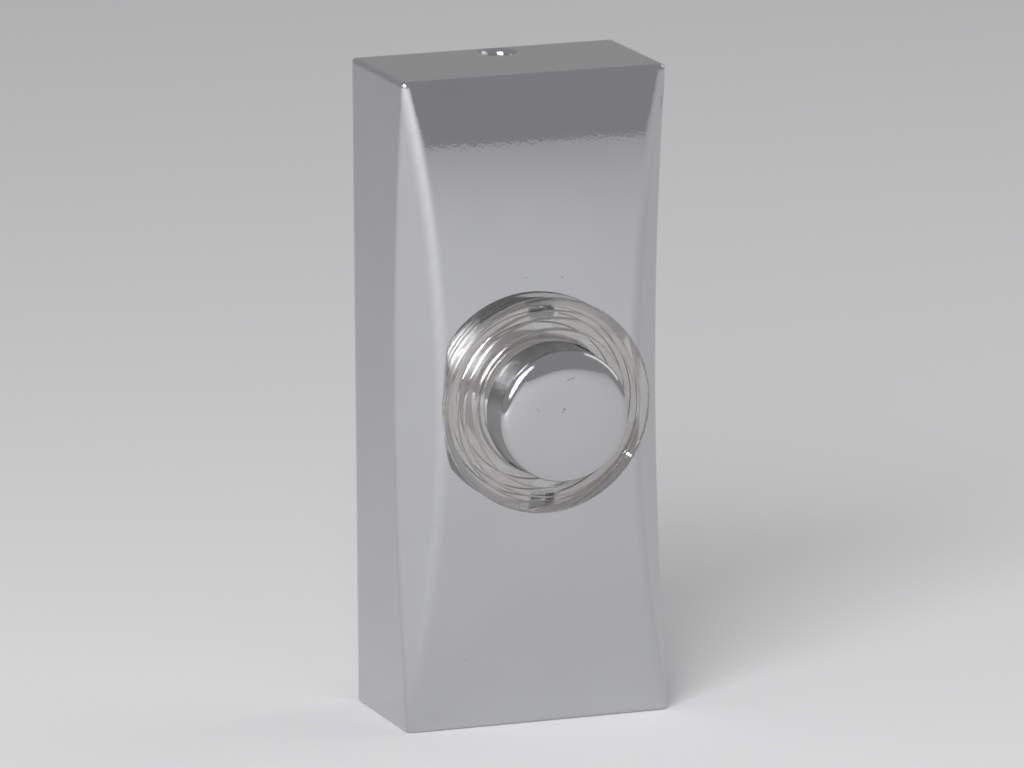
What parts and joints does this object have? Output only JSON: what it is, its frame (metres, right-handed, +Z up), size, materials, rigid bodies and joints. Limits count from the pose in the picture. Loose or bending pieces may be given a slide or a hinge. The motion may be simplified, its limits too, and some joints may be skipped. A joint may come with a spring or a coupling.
{
  "type": "doorbell push button",
  "caption": "Surface-mounted wired doorbell push: chromed cover with bowed front and scalloped long edges, clear stepped collar and a sprung chromed push button.",
  "frame": {"origin": "centre of the back face, on the wall plane", "axes": "+Z up the door, -Y out of the wall towards the visitor, +X to the visitor's right"},
  "size_m": [0.0338, 0.0287, 0.08],
  "materials": {
    "cover_chrome": "bright chrome plate on die-cast zinc",
    "cap_chrome": "bright chrome plate",
    "clear_plastic": "clear moulded acrylic",
    "white_nylon": "natural white moulding",
    "base_moulding": "fine spark texture",
    "brass_sheet": "rolled sheet",
    "brass_turned": "turned",
    "contact_silver": "silver contact face",
    "spring_steel": "drawn wire",
    "zinc_steel": "bright zinc plate",
    "tinned_wire": "tinned",
    "lamp_glass": "clear moulded lamp body",
    "resistor_lacquer": "lacquered"
  },
  "bodies": {
    "housing": {"cover": "cover_chrome", "lens_collar": "clear_plastic", "collar_retaining_ring": "white_nylon", "base_plate": "base_moulding", "guide_pins": "zinc_steel", "cover_screw": "zinc_steel", "cover_nut": "zinc_steel", "contact_strip_left": "brass_sheet", "contact_strip_right": "brass_sheet", "contact_tips": "contact_silver", "strip_rivets": "brass_turned", "terminal_screws": "zinc_steel", "terminal_washers": "zinc_steel", "terminal_nuts": "zinc_steel", "lamp": "lamp_glass", "lamp_legs": "tinned_wire", "resistor": "resistor_lacquer", "resistor_legs": "tinned_wire", "return_spring": "spring_steel"},
    "button": {"button_cap": "cap_chrome", "plunger": "white_nylon", "contact_bridge": "brass_sheet", "bridge_clip": "zinc_steel"}
  },
  "joints": [
    {"name": "button_press", "type": "slide", "parent": "housing", "child": "button", "axis": [0, 1, 0], "range_m": [0, 0.002], "stiffness_N_per_m": 400, "springref_m": -0.003, "deforming": ["return_spring"]}
  ]
}
